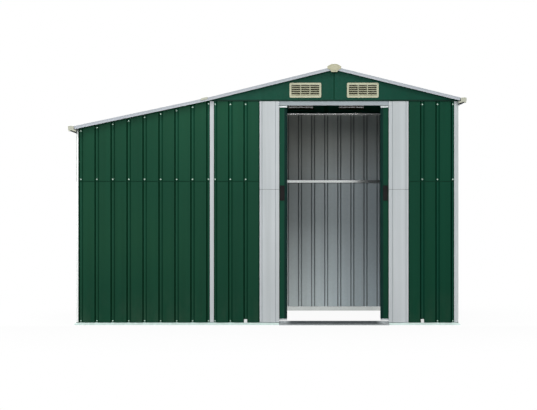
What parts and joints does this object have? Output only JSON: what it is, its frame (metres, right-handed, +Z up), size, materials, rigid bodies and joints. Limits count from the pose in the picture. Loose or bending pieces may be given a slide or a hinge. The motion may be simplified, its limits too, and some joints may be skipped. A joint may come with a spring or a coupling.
{
  "type": "metal storage shed",
  "caption": "Ribbed steel garden shed with a gabled main bay, sliding double door, louvred gable vents and a lean-to bay beside it under a lower pitched roof.",
  "frame": {"origin": "ground level, centre of the plan bounding box", "axes": "+X to the right along the front, with the lean-to at -X and the door towards -Y; +Y to the back; +Z up"},
  "size_m": [3.1, 2.058, 2.0325],
  "materials": {
    "green_sheet": "satin dark green baked paint",
    "white_trim": "satin off-white baked paint",
    "frame_steel": "bright galvanised",
    "zinc_steel": "dull galvanised",
    "beige_plastic": "moulded, slightly glossy",
    "black_plastic": "moulded, satin"
  },
  "bodies": {
    "shed": {"front_base_rails": "white_trim", "back_base_rail": "white_trim", "side_base_rails": "white_trim", "door_sill": "zinc_steel", "door_guide": "zinc_steel", "left_posts": "white_trim", "mid_posts": "white_trim", "right_posts": "white_trim", "front_left_wall": "green_sheet", "front_right_wall": "green_sheet", "lean_to_front_wall": "green_sheet", "lean_to_back_wall": "green_sheet", "back_wall": "green_sheet", "left_wall": "green_sheet", "right_wall": "green_sheet", "front_wall_rails": "frame_steel", "back_wall_rails": "frame_steel", "side_wall_rails": "frame_steel", "mid_beam": "frame_steel", "left_door_column": "white_trim", "right_door_column": "white_trim", "door_header": "white_trim", "door_track": "zinc_steel", "front_gable": "green_sheet", "back_gable": "green_sheet", "front_vents": "beige_plastic", "back_vents": "beige_plastic", "roof_left": "green_sheet", "roof_right": "green_sheet", "lean_to_roof": "green_sheet", "roof_beams": "frame_steel", "ridge_strip": "white_trim", "junction_strip": "white_trim", "front_rake_trims": "white_trim", "back_rake_trims": "white_trim", "eave_trims": "white_trim", "front_end_caps": "beige_plastic", "back_end_caps": "beige_plastic"},
    "left_door": {"left_door_leaf": "green_sheet", "left_door_rails": "white_trim", "left_door_rollers": "black_plastic", "left_door_handle": "black_plastic"},
    "right_door": {"right_door_leaf": "green_sheet", "right_door_rails": "white_trim", "right_door_rollers": "black_plastic", "right_door_handle": "black_plastic"}
  },
  "joints": [
    {"name": "left_door_slide", "type": "slide", "parent": "shed", "child": "left_door", "axis": [1, 0, 0], "range_m": [0, 0.363]},
    {"name": "right_door_slide", "type": "slide", "parent": "shed", "child": "right_door", "axis": [-1, 0, 0], "range_m": [0, 0.363]}
  ]
}
